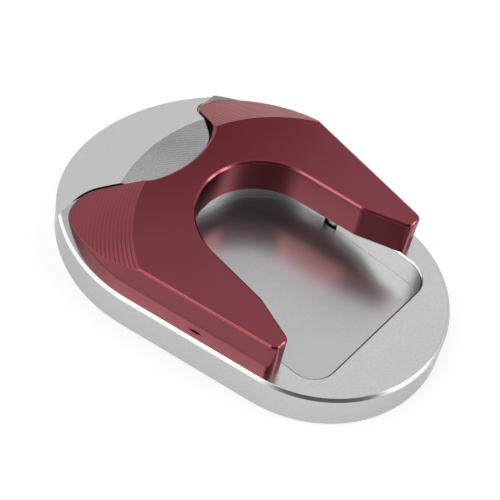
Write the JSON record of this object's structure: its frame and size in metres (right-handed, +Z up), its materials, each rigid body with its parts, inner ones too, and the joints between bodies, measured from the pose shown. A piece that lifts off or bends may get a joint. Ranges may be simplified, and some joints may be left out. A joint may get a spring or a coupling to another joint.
{
  "type": "kickstand foot enlarger",
  "caption": "Milled two-tone foot plate that widens the end of a motorbike side stand: a rounded plate with a pocket for the stand's foot and a screwed-on horseshoe stop.",
  "frame": {"origin": "centre of the underside's bounding box, on the ground plane", "axes": "+X towards the open end of the horseshoe, +Z up, +Y across the plate"},
  "size_m": [0.1, 0.0704, 0.0194],
  "materials": {
    "natural_anodised": "fine bead-blasted, natural anodised",
    "red_anodised": "dark red anodised, satin, with milling lines on the sloping faces",
    "screw_steel": "plain stainless steel"
  },
  "bodies": {
    "root": {"base_plate": "natural_anodised", "stop_piece": "red_anodised", "base_screws": "screw_steel"}
  },
  "joints": []
}
